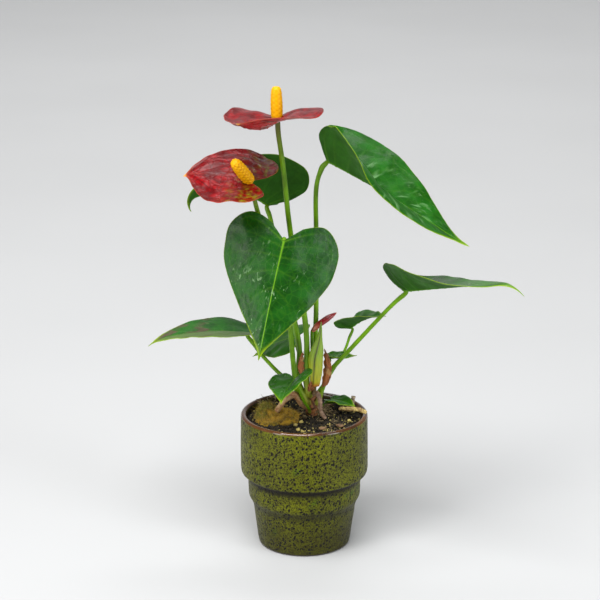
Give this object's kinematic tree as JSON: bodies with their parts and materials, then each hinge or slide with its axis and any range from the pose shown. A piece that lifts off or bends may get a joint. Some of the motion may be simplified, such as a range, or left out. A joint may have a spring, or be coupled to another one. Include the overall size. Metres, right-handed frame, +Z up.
{
  "type": "potted anthurium",
  "caption": "Red anthurium with heart-shaped leaves, waxy spathes and yellow spadices, rooted in potting mix in a small stepped pot glazed speckled olive green.",
  "frame": {"origin": "centre of the pot's foot, on the surface that it stands on", "axes": "+Z up the pot and the plant; -Y is the side that the flowers and the largest leaf face; +X is to the right as seen from that side"},
  "size_m": [0.1994, 0.103, 0.2584],
  "materials": {
    "bark": "matte",
    "leaf": "gloss",
    "spathe": "gloss",
    "root": "matte",
    "moss": "matte",
    "papery": "matte",
    "perlite": "matte",
    "stem": "satin",
    "glaze": "gloss",
    "mix": "matte",
    "rhizome": "matte",
    "sheath": "satin",
    "spadix": "satin"
  },
  "bodies": {
    "root": {"bark_back": "bark", "bark_front": "bark", "bark_right": "bark", "blade_back_left": "leaf", "blade_back_right": "leaf", "blade_front": "leaf", "blade_left": "leaf", "blade_low_front": "leaf", "blade_low_right": "leaf", "blade_on_mix": "leaf", "blade_rear": "leaf", "blade_right": "leaf", "blade_tall": "leaf", "bud": "spathe", "dry_stalk": "root", "moss": "moss", "papery_front": "papery", "papery_left": "papery", "papery_right": "papery", "perlite_front": "perlite", "perlite_middle": "perlite", "perlite_right": "perlite", "petiole_back_left": "stem", "petiole_back_right": "stem", "petiole_front": "stem", "petiole_left": "stem", "petiole_low_front": "stem", "petiole_low_right": "stem", "petiole_on_mix": "stem", "petiole_rear": "stem", "petiole_right": "stem", "petiole_tall": "stem", "pot": "glaze", "potting_mix": "mix", "rhizome": "rhizome", "root_left": "root", "root_right": "root", "sheath": "sheath", "spadix_left": "spadix", "spadix_top": "spadix", "spathe_left": "spathe", "spathe_top": "spathe", "stalk_bud": "stem", "stalk_left": "stem", "stalk_top": "stem", "twig": "root"}
  },
  "joints": []
}
